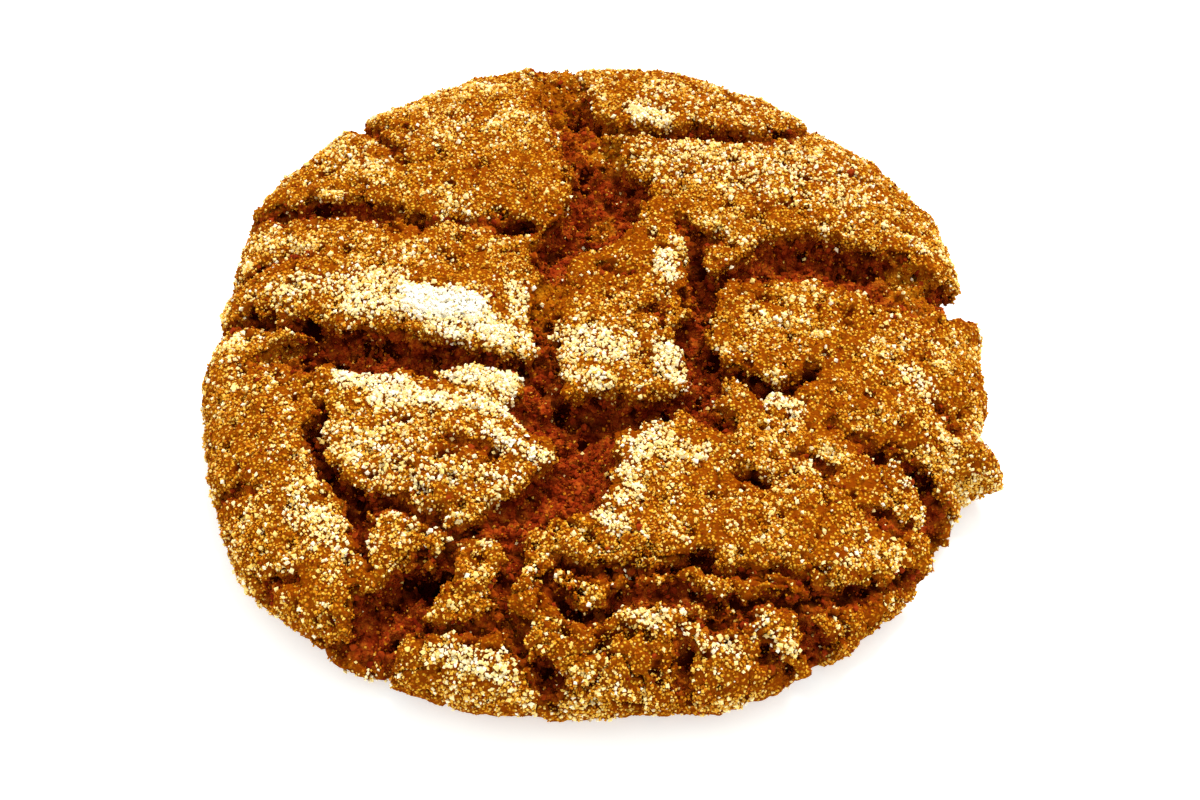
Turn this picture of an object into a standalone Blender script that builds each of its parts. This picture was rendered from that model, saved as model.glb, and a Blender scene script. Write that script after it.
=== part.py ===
"""A sugared gingersnap with a crackled top: one baked solid that rests on its flat base.

The frame is +Z up with the origin at the middle of the base. Lengths in the tables are in
millimetres, as read off the biscuit, and everything that is built is in metres.

The top and side are one sheet, drawn from the middle of the crown over the shoulder and round
the rim to the foot. The cracks are cut into that sheet as strokes of changing width and depth,
it is thinned to the faces that the cracks need, and the foot is closed with a flat base.
"""

import itertools

import bpy
import bmesh
import numpy as np

MM = 0.001

# Driving dimensions
CROWN_HEIGHT = 12.0
RIM_HEIGHT = 4.0
FOOT_INSET = 2.6
SHOULDER_POWER = 4.0
# Radius of the outline at every 15 degrees, anticlockwise from +X
OUTLINE = (
    39.0, 39.4, 40.3, 40.4, 40.7, 41.6, 41.3, 41.6, 41.6, 41.7, 41.0, 39.3,
    38.8, 39.9, 41.6, 42.3, 42.3, 41.7, 41.1, 41.4, 41.9, 41.1, 40.1, 40.1,
)

# Knobs and nicks of the outline: angle and half width in degrees, and how far out or in
OUTLINE_KNOBS = (
    (5.6, 3.0, 0.9), (28.5, 3.2, 0.6), (57.0, 8.0, 0.4), (85.0, 6.0, 0.3), (110.0, 8.0, 0.5),
    (127.0, 2.0, 0.8), (130.0, 5.0, 0.3), (151.5, 1.8, 0.9), (185.0, 4.0, 0.4), (220.5, 5.0, 0.8),
    (240.5, 3.0, -0.3), (291.0, 8.0, 0.35), (308.0, 4.0, -0.7), (323.0, 6.0, 0.65), (335.0, 2.5, -1.1),
    (340.0, 2.8, 1.0), (346.5, 3.5, -1.0),
)

# Cracks in plan. Each is a stroke through points (x, y, half width, depth).
CRACKS = {
    "back gully": (
        (-4.5, 44.0, 2.2, 0.0), (-4.2, 39.5, 2.5, 0.3), (-3.4, 34.5, 2.5, 1.3), (-2.6, 29.5, 2.4, 1.5),
        (-1.4, 26.0, 2.6, 1.1), (1.0, 20.8, 3.2, 2.4), (1.2, 16.0, 3.8, 3.3), (-1.0, 12.0, 2.9, 3.4),
        (-4.0, 9.8, 2.4, 3.2), (-4.5, 6.6, 1.5, 1.8), (-4.9, 2.8, 1.0, 0.9), (-5.3, -0.8, 0.8, 0.8),
        (-5.0, -3.8, 1.0, 1.2), (-5.0, -7.5, 1.9, 2.8),
    ),
    "back slit": (
        (-3.0, 35.2, 0.6, 1.4), (-2.6, 33.0, 1.0, 2.6), (-2.0, 30.6, 1.1, 2.8), (-1.4, 28.6, 0.8, 2.0),
    ),
    "back right": (
        (-1.2, 29.5, 1.3, 2.4), (3.0, 27.3, 0.6, 1.8), (8.0, 27.2, 0.7, 2.0), (12.0, 27.3, 1.2, 2.3),
        (16.0, 27.0, 1.3, 2.2), (19.5, 27.6, 0.9, 1.6), (22.5, 30.5, 0.6, 1.3), (26.0, 34.0, 0.6, 1.3),
    ),
    "upper left": (
        (-36.8, 19.2, 0.5, 0.7), (-34.5, 18.2, 1.0, 1.6), (-31.0, 17.3, 1.5, 2.2), (-26.0, 16.9, 1.4, 2.4),
        (-21.0, 14.8, 1.0, 1.9), (-17.0, 13.2, 0.7, 1.1), (-13.5, 13.5, 0.5, 0.9), (-10.5, 13.2, 0.7, 1.3),
        (-7.0, 12.4, 1.0, 2.2),
    ),
    "left slit": (
        (-43.0, 4.2, 0.7, 1.6), (-38.0, 3.5, 0.7, 1.8), (-34.0, 2.5, 0.7, 2.0), (-30.0, 0.8, 0.8, 2.4),
        (-27.0, -0.6, 0.8, 2.6),
    ),
    "left trough": (
        (-33.5, -2.8, 1.0, 1.0), (-29.0, -2.9, 2.3, 2.4), (-25.0, -3.3, 2.6, 2.9), (-20.0, -3.9, 2.6, 3.0),
        (-16.0, -4.4, 2.2, 2.8), (-12.0, -4.8, 1.2, 2.2), (-9.0, -5.2, 1.0, 2.0), (-6.5, -6.8, 1.6, 2.8),
        (-5.0, -8.4, 1.9, 3.0),
    ),
    "middle chasm": (
        (-6.2, -11.6, 1.8, 3.0), (-2.0, -12.1, 2.6, 3.7), (3.0, -11.6, 2.2, 3.6), (7.0, -11.0, 1.5, 3.1),
        (9.8, -10.5, 1.1, 2.8),
    ),
    "front of chasm": (
        (-1.2, -14.0, 2.9, 3.4), (-0.8, -17.0, 2.8, 3.2), (-2.2, -20.2, 3.1, 3.0), (-5.2, -22.4, 2.5, 2.8),
        (-9.0, -24.3, 1.3, 2.4), (-12.5, -25.2, 0.7, 1.8),
    ),
    "right stem": (
        (8.8, 13.2, 0.5, 1.2), (10.6, 11.4, 0.8, 1.8), (10.3, 9.0, 0.6, 2.0), (10.1, 6.5, 0.9, 2.5),
        (10.9, 4.0, 1.3, 3.2), (10.4, 1.0, 1.2, 3.0), (9.6, -2.0, 1.7, 3.0), (10.8, -5.0, 1.6, 3.2),
        (10.9, -8.0, 1.6, 3.0), (10.0, -10.5, 1.4, 3.0), (12.5, -13.6, 0.9, 1.2),
    ),
    "right twig": ((10.8, 11.2, 0.7, 1.7), (13.5, 10.3, 0.5, 1.3)),
    "right trough": (
        (10.9, 4.4, 0.9, 2.6), (13.5, 6.2, 0.9, 2.4), (17.0, 7.7, 1.9, 2.5), (20.0, 8.8, 2.9, 3.0),
        (24.0, 8.4, 3.3, 3.2), (28.0, 7.3, 3.7, 2.9), (32.0, 6.4, 3.8, 2.3), (35.5, 6.4, 2.9, 2.1),
        (38.5, 7.8, 2.4, 2.0), (43.0, 9.4, 2.2, 1.9),
    ),
    "right pocket": ((27.4, 4.8, 0.8, 3.2), (29.4, 3.8, 1.0, 3.4)),
    "right branch": (
        (11.4, -5.6, 1.1, 3.0), (14.4, -6.9, 0.9, 2.6), (17.0, -8.6, 1.0, 2.6), (19.0, -8.2, 0.8, 2.2),
        (21.4, -6.2, 0.5, 1.6),
    ),
    "left elbow": (
        (-27.6, -9.6, 0.5, 1.2), (-26.4, -11.5, 0.8, 1.9), (-27.4, -14.0, 1.0, 2.4), (-26.6, -16.0, 0.8, 2.2),
        (-25.0, -18.3, 0.9, 2.5), (-23.6, -20.6, 0.9, 2.7), (-21.5, -21.3, 0.9, 2.7),
        (-19.3, -21.6, 0.8, 2.0), (-16.6, -23.4, 0.6, 1.6), (-13.4, -25.0, 0.6, 1.6),
    ),
    "left elbow twig": (
        (-23.0, -21.5, 0.9, 2.5), (-22.0, -24.0, 0.9, 2.4), (-21.8, -26.0, 0.6, 1.8),
        (-21.3, -28.2, 0.4, 1.1),
    ),
    "front left chasm": (
        (-13.6, -27.0, 0.8, 1.9), (-14.6, -29.0, 1.4, 2.8), (-17.0, -31.0, 2.5, 3.8),
        (-19.4, -33.0, 3.0, 3.5), (-21.0, -35.2, 2.6, 3.3), (-21.6, -38.0, 1.2, 2.4),
        (-21.8, -41.0, 0.8, 1.4), (-22.4, -45.0, 0.5, 0.9),
    ),
    "front left pit": ((-16.8, -29.8, 1.0, 5.4), (-15.2, -29.5, 1.1, 5.4)),
    "front left twig": ((-16.1, -27.4, 0.6, 1.5), (-16.3, -30.2, 1.0, 2.6)),
    "front left foot": ((-27.0, -33.4, 0.5, 1.2), (-25.2, -35.0, 0.8, 1.9), (-23.0, -36.0, 1.0, 2.6)),
    "front left ledge": ((-15.4, -34.8, 0.7, 1.8), (-12.0, -35.1, 0.6, 1.4), (-9.4, -34.4, 0.5, 1.0)),
    "front pit gap": (
        (-8.2, -25.4, 1.5, 2.5), (-7.4, -28.0, 1.4, 2.6), (-8.6, -31.0, 0.5, 1.5), (-8.6, -33.2, 0.5, 1.4),
        (-7.4, -35.6, 0.6, 1.7), (-6.6, -37.8, 0.4, 1.0),
    ),
    "front lip": (
        (-3.5, -28.6, 0.4, 1.9), (-1.4, -29.2, 0.45, 2.3), (2.8, -29.5, 0.5, 2.5), (5.5, -29.3, 0.5, 2.5),
        (9.4, -28.4, 0.9, 2.8), (10.9, -29.6, 0.6, 2.3), (15.3, -29.5, 0.35, 1.9), (18.1, -29.4, 0.4, 2.0),
        (20.5, -30.6, 0.4, 1.9), (23.9, -30.8, 0.6, 2.2), (25.8, -30.2, 0.5, 2.0), (28.4, -28.4, 0.5, 1.8),
        (31.5, -26.4, 0.4, 1.3),
    ),
    "front step": (
        (-4.6, -30.4, 0.5, 1.7), (-3.5, -32.4, 0.6, 2.1), (-1.5, -34.0, 0.8, 2.4), (0.6, -33.6, 0.8, 2.3),
        (3.4, -32.2, 1.1, 2.1), (6.5, -31.7, 1.0, 1.7), (10.0, -32.4, 0.9, 1.8), (14.0, -32.6, 0.7, 1.8),
        (18.0, -32.0, 0.6, 1.9), (21.5, -31.4, 0.5, 1.9),
    ),
    "front ledge": ((9.2, -34.6, 0.4, 1.2), (12.0, -34.8, 0.5, 1.5), (15.0, -33.8, 0.4, 1.3)),
    "right notch": (
        (23.5, -13.0, 0.4, 1.2), (26.0, -15.0, 0.6, 1.7), (29.0, -16.2, 0.9, 2.1), (32.0, -17.6, 1.5, 2.8),
        (33.4, -20.5, 1.6, 2.7), (34.6, -24.0, 1.7, 2.8), (36.5, -28.0, 1.5, 2.6),
    ),
    "right nick": ((34.3, -9.3, 0.5, 1.3), (35.6, -11.2, 0.5, 1.1)),
    "front right notch": (
        (19.3, -32.6, 0.5, 1.6), (20.0, -34.2, 1.0, 2.4), (21.4, -36.4, 1.6, 3.0), (22.6, -39.5, 1.8, 3.0),
        (24.2, -44.0, 1.6, 2.4),
    ),
    "front right nick": ((15.8, -37.0, 0.6, 1.4), (18.8, -37.8, 0.6, 1.6)),
    "front slot": ((8.2, -35.4, 0.4, 1.0), (8.2, -37.5, 0.7, 1.9), (8.0, -40.0, 0.5, 1.2)),
    "front hole": ((-5.0, -38.9, 0.9, 2.6), (-4.2, -40.2, 0.8, 2.4)),
    "plate hole": ((14.1, -19.7, 0.6, 2.2), (15.8, -20.1, 0.6, 2.0)),
    "left nick": (
        (-42.0, -20.5, 0.7, 1.3), (-38.0, -19.3, 0.6, 1.3), (-35.0, -18.3, 0.5, 1.1),
        (-32.5, -18.8, 0.4, 0.7),
    ),
    "left foot nick": ((-33.0, -29.4, 0.5, 0.9), (-28.4, -28.2, 0.4, 0.8)),
    "back left nick": (
        (-27.2, 35.0, 0.4, 0.6), (-25.6, 32.0, 0.6, 1.5), (-24.4, 29.4, 0.5, 1.1), (-20.8, 24.6, 0.4, 0.8),
    ),
    "left crease": (
        (-41.0, 9.6, 0.5, 0.9), (-37.0, 9.8, 0.4, 0.9), (-33.0, 10.4, 0.4, 0.8), (-29.0, 10.8, 0.3, 0.6),
    ),
    "middle crease": ((0.8, 7.0, 0.4, 0.9), (3.4, 5.9, 0.4, 1.0)),
    "middle slot": ((4.0, 0.9, 0.4, 0.8), (6.4, 1.8, 0.5, 1.3), (6.8, -0.8, 0.5, 1.3)),
    "left plate dent": ((-14.0, -15.2, 0.4, 0.7), (-11.0, -16.0, 0.5, 0.9), (-9.5, -17.0, 0.4, 0.7)),
    "right plate crease": ((19.8, -16.8, 0.4, 0.7), (22.8, -18.2, 0.5, 0.8)),
    "front plate crease": ((26.0, -22.0, 0.4, 0.7), (29.8, -23.0, 0.5, 0.9)),
}

# Plates and knobs that stand proud between the cracks, as (x, y, radius, height)
SWELLS = (
    (14.0, -22.5, 11.0, 0.9), (-14.0, -16.0, 9.0, 0.9), (3.0, -2.5, 7.0, 0.6), (22.0, 0.0, 8.0, 0.3),
    (-18.0, 25.0, 12.0, 0.5), (17.0, 19.0, 10.0, 0.5), (-22.0, 5.0, 10.0, 0.5), (9.0, 35.0, 8.0, 0.5),
    (-31.0, -14.0, 8.0, 0.4), (-11.5, -30.5, 3.0, 0.6), (-5.0, -32.5, 3.0, 0.5), (9.0, -37.0, 6.0, 0.4),
    (-12.0, 3.0, 4.0, 0.4), (33.2, 7.2, 3.2, 1.3), (2.0, 24.0, 3.0, 0.7), (-26.0, -32.0, 6.0, 0.4),
    (39.0, -13.5, 5.5, 1.3), (-25.0, -38.0, 4.0, 0.5), (-5.5, 42.0, 5.5, 1.6), (12.0, -42.0, 4.0, 0.6),
)

# Shape of a crack's walls and of the plates beside it
LIP_DROP = 0.45
LIP_REACH = 0.9
WALL_WIDTH = 0.75
# Share by which a crack is deeper at its back side and shallower at its front side
LEAN = 0.28
MIDDLE_REACH = 1.6
WANDER = ((0.55, 3.4, 11), (0.25, 1.5, 17))
ROUGHNESS = ((0.35, 9.0, 23), (0.16, 3.2, 29))
FLOOR_ROUGHNESS = (0.55, 2.2, 31)
FOOT_FADE = 1.5

# Fineness of the sheet before and after it is thinned
RINGS = 145
FACES_KEPT = 0.0685
STROKE_STEPS = 4

NODE = "gingersnap"
CRUST_COLOUR = (0.42, 0.18, 0.035, 1.0)
CRUST_ROUGHNESS = 0.75


def smooth(t):
    """Eases from 0 to 1 as t does."""
    t = np.clip(t, 0.0, 1.0)
    return t * t * (3.0 - 2.0 * t)


def noise(points, cell, seed):
    """Smooth gradient noise of about -1 to 1 at points (n, 3), in cells of that size."""
    rng = np.random.default_rng(seed)
    order = rng.permutation(256)
    slopes = rng.normal(size=(256, 3))
    slopes /= np.linalg.norm(slopes, axis=1)[:, None]
    corner = np.floor(points / cell).astype(int)
    inside = points / cell - corner
    weight = inside**3 * (inside * (inside * 6.0 - 15.0) + 10.0)
    total = np.zeros(len(points))
    for step in itertools.product((0, 1), repeat=3):
        at = corner + step
        pick = order[(order[(order[at[:, 0] & 255] + at[:, 1]) & 255] + at[:, 2]) & 255]
        share = np.prod(np.where(step, weight, 1.0 - weight), axis=1)
        total += share * np.einsum("ij,ij->i", slopes[pick], inside - step)
    return total * 1.6


def outline_radius(angle):
    """Radius of the biscuit's widest line at an angle, as the smooth curve through OUTLINE."""
    waves = np.fft.rfft(OUTLINE) / len(OUTLINE)
    radius = np.full(angle.shape, waves[0].real)
    for k in range(1, len(OUTLINE) // 2):
        radius += 2.0 * (waves[k] * np.exp(1j * k * angle)).real
    for middle, width, out in np.radians(OUTLINE_KNOBS):
        away = np.angle(np.exp(1j * (angle - middle)))
        radius += np.degrees(out) * np.exp(-((away / width) ** 2))
    return radius


def meridian(share):
    """Radius (as a share of the outline's), height and outward tilt, at a share of the way to the foot."""
    middle = float(np.mean(OUTLINE))
    turn = np.linspace(0.0, 1.0, 1500)
    top_r = np.sin(turn * np.pi / 2.0)
    top_z = RIM_HEIGHT + (CROWN_HEIGHT - RIM_HEIGHT) * np.sqrt(1.0 - top_r**SHOULDER_POWER)
    under_z = RIM_HEIGHT * (1.0 - turn[1:])
    under_r = 1.0 - FOOT_INSET / middle * turn[1:] ** 2
    r = np.concatenate([top_r, under_r])
    z = np.concatenate([top_z, under_z])
    length = np.concatenate([[0.0], np.cumsum(np.hypot(np.diff(r) * middle, np.diff(z)))])
    slope = np.unwrap(np.arctan2(-np.gradient(z, length), np.gradient(r * middle, length)))
    at = share * length[-1]
    return np.interp(at, length, r), np.interp(at, length, z), np.interp(at, length, slope)


def stroke(points):
    """A crack's points with more between them, on a smooth curve."""
    p = np.array(points, float)
    ends = np.vstack([2 * p[0] - p[1], p, 2 * p[-1] - p[-2]])
    made = []
    for a, b, c, d in zip(ends, ends[1:], ends[2:], ends[3:]):
        for t in np.arange(STROKE_STEPS) / STROKE_STEPS:
            bend = (2 * a - 5 * b + 4 * c - d) * t**2 + (3 * b - a - 3 * c + d) * t**3
            made.append(b + 0.5 * ((c - a) * t + bend))
    return np.array([*made, p[-1]])


def nearest_on(at, line):
    """For each plan point, how deep it lies inside a stroke's edge, and the stroke's depth there, which
    is more on its back side and less on its front side."""
    inside = np.full(len(at), -np.inf)
    depth = np.zeros(len(at))
    for a, b in zip(line, line[1:]):
        along = b[:2] - a[:2]
        t = np.clip(((at - a[:2]) @ along) / (along @ along), 0.0, 1.0)
        away = at - a[:2] - t[:, None] * along
        width = a[2] + t * (b[2] - a[2])
        edge = width - np.linalg.norm(away, axis=1)
        lean = 1.0 + LEAN * np.clip(away[:, 1] / width, -1.0, 1.0)
        closer = edge > inside
        inside[closer] = edge[closer]
        depth[closer] = (lean * (a[3] + t * (b[3] - a[3])))[closer]
    return inside, depth


def crack_cut(at):
    """How far the cracks cut in at plan points (n, 2), and how far inside a crack's edge each lies."""
    flat = np.column_stack([at, np.zeros(len(at))])
    wandered = at.copy()
    for size, cell, seed in WANDER:
        wandered[:, 0] += size * noise(flat, cell, seed)
        wandered[:, 1] += size * noise(flat, cell, seed + 1)
    cut = np.zeros(len(at))
    inside = np.full(len(at), -20.0)
    reach = 3.0
    for points in CRACKS.values():
        line = stroke(points)
        low = (line[:, :2] - line[:, 2:3]).min(0) - reach
        high = (line[:, :2] + line[:, 2:3]).max(0) + reach
        near = np.flatnonzero(((wandered > low) & (wandered < high)).all(1))
        edge, depth = nearest_on(wandered[near], line)
        wall = 0.72 * smooth(edge / WALL_WIDTH + 0.3) + 0.28 * smooth(edge / MIDDLE_REACH)
        cut[near] = np.maximum(cut[near], depth * wall)
        inside[near] = np.maximum(inside[near], edge)
    return cut, inside


def relief(at):
    """How far the surface stands off the plain domed form at plan points (n, 2)."""
    flat = np.column_stack([at, np.zeros(len(at))])
    cut, inside = crack_cut(at)
    height = sum(size * noise(flat, cell, seed) for size, cell, seed in ROUGHNESS)
    for x, y, radius, swell in SWELLS:
        height += swell * np.exp(-((at - (x, y)) ** 2).sum(1) / (0.6 * radius) ** 2)
    height -= LIP_DROP * np.exp(-np.maximum(-inside, 0.0) / LIP_REACH)
    size, cell, seed = FLOOR_ROUGHNESS
    height += smooth(inside) * size * noise(flat, cell, seed)
    return height - cut


def concentric(square):
    """Square coordinates in -1 to 1 laid on the unit disc in rings: (share of the radius, angle)."""
    x, y = square[:, 0], square[:, 1]
    wide = np.abs(x) > np.abs(y)
    radius = np.where(wide, x, y)
    with np.errstate(divide="ignore", invalid="ignore"):
        angle = np.where(wide, np.pi / 4 * y / x, np.pi / 2 - np.pi / 4 * x / y)
    angle = np.where(radius == 0.0, 0.0, angle)
    return np.abs(radius), np.where(radius < 0, angle + np.pi, angle)


def sheet_points(square):
    """Where the points of a square sheet go on the biscuit's top and side, in millimetres."""
    share, angle = concentric(square)
    r_share, z, tilt = meridian(share)
    widest = outline_radius(angle)
    outward = np.column_stack([np.cos(angle), np.sin(angle)])
    plan = outward * (r_share * widest)[:, None]
    below = np.maximum(RIM_HEIGHT - z, 0.0) * (tilt > np.pi / 2)
    unrolled = plan + outward * 2.0 * below[:, None]
    stand_off = relief(unrolled) * smooth(z / FOOT_FADE)
    out = np.sin(tilt) * stand_off
    up = np.cos(tilt) * stand_off
    return np.column_stack([plan + outward * out[:, None], z + up])


def sugar_crust_material():
    material = bpy.data.materials.new("sugared_ginger_crust")
    material.use_nodes = True
    shader = material.node_tree.nodes["Principled BSDF"]
    shader.inputs["Base Color"].default_value = CRUST_COLOUR
    shader.inputs["Roughness"].default_value = CRUST_ROUGHNESS
    shader.inputs["Metallic"].default_value = 0.0
    return material


def top_sheet():
    """The top and side as an open sheet, thinned so that its faces crowd where the cracks are."""
    bm = bmesh.new()
    bmesh.ops.create_grid(bm, x_segments=2 * RINGS, y_segments=2 * RINGS, size=1.0)
    square = np.array([v.co[:2] for v in bm.verts])
    square[np.abs(square) < 0.1 / RINGS] = 0.0
    for vertex, point in zip(bm.verts, sheet_points(square) * MM):
        vertex.co = point
    mesh = bpy.data.meshes.new("sheet")
    bm.to_mesh(mesh)
    bm.free()
    sheet = bpy.data.objects.new("sheet", mesh)
    bpy.context.scene.collection.objects.link(sheet)
    thin = sheet.modifiers.new("thin", "DECIMATE")
    thin.ratio = FACES_KEPT
    seen = bpy.context.evaluated_depsgraph_get()
    thinned = bpy.data.meshes.new_from_object(sheet.evaluated_get(seen))
    bpy.data.objects.remove(sheet)
    return thinned


def close_base(mesh):
    """Lays the sheet's foot flat on z = 0, closes it with one face and centres it on the origin."""
    bm = bmesh.new()
    bm.from_mesh(mesh)
    foot = [edge for edge in bm.edges if edge.is_boundary]
    for vertex in {vertex for edge in foot for vertex in edge.verts}:
        vertex.co.z = 0.0
    bmesh.ops.contextual_create(bm, geom=foot)
    bmesh.ops.triangulate(bm, faces=bm.faces)
    bmesh.ops.recalc_face_normals(bm, faces=bm.faces)
    spots = np.array([vertex.co for vertex in bm.verts])
    middle = (spots.min(0) + spots.max(0)) / 2.0
    bmesh.ops.translate(bm, verts=bm.verts, vec=(-middle[0], -middle[1], 0.0))
    bm.to_mesh(mesh)
    bm.free()


def main():
    for old in list(bpy.data.objects):
        bpy.data.objects.remove(old)
    parts = bpy.data.collections.new("Gingersnap")
    bpy.context.scene.collection.children.link(parts)
    mesh = top_sheet()
    close_base(mesh)
    mesh.name = NODE
    mesh.materials.append(sugar_crust_material())
    mesh.shade_smooth()
    parts.objects.link(bpy.data.objects.new(NODE, mesh))


main()
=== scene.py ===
"""The looks of the sugared gingersnap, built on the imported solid.

The solid's form is made again from the same named values, with finer detail: torn crumb under
overhanging lips in the cracks, and a pitted, crackled crust. Sugar crystals and crumbs are then
strewn over it as meshes at true size. Lengths in the tables are in millimetres.
"""

import itertools
import math

import bpy
import bmesh
import numpy as np
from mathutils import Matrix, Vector
from mathutils.kdtree import KDTree


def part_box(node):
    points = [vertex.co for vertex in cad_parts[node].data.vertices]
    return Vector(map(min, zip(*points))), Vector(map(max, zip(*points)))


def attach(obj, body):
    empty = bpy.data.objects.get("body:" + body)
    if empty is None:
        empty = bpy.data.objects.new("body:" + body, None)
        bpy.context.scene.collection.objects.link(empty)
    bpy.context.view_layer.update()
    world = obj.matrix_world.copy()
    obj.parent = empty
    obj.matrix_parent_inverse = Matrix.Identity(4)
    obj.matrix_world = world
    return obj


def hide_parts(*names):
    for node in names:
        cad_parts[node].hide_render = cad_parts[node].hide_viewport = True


NODE = "gingersnap"
SLOT = "sugared_ginger_crust"
MM = 0.001

# Driving dimensions
CROWN_HEIGHT = 12.0
RIM_HEIGHT = 4.0
FOOT_INSET = 2.6
SHOULDER_POWER = 4.0
# Radius of the outline at every 15 degrees, anticlockwise from +X
OUTLINE = (
    39.0, 39.4, 40.3, 40.4, 40.7, 41.6, 41.3, 41.6, 41.6, 41.7, 41.0, 39.3,
    38.8, 39.9, 41.6, 42.3, 42.3, 41.7, 41.1, 41.4, 41.9, 41.1, 40.1, 40.1,
)

# Knobs and nicks of the outline: angle and half width in degrees, and how far out or in
OUTLINE_KNOBS = (
    (5.6, 3.0, 0.9), (28.5, 3.2, 0.6), (57.0, 8.0, 0.4), (85.0, 6.0, 0.3), (110.0, 8.0, 0.5),
    (127.0, 2.0, 0.8), (130.0, 5.0, 0.3), (151.5, 1.8, 0.9), (185.0, 4.0, 0.4), (220.5, 5.0, 0.8),
    (240.5, 3.0, -0.3), (291.0, 8.0, 0.35), (308.0, 4.0, -0.7), (323.0, 6.0, 0.65), (335.0, 2.5, -1.1),
    (340.0, 2.8, 1.0), (346.5, 3.5, -1.0),
)

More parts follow.
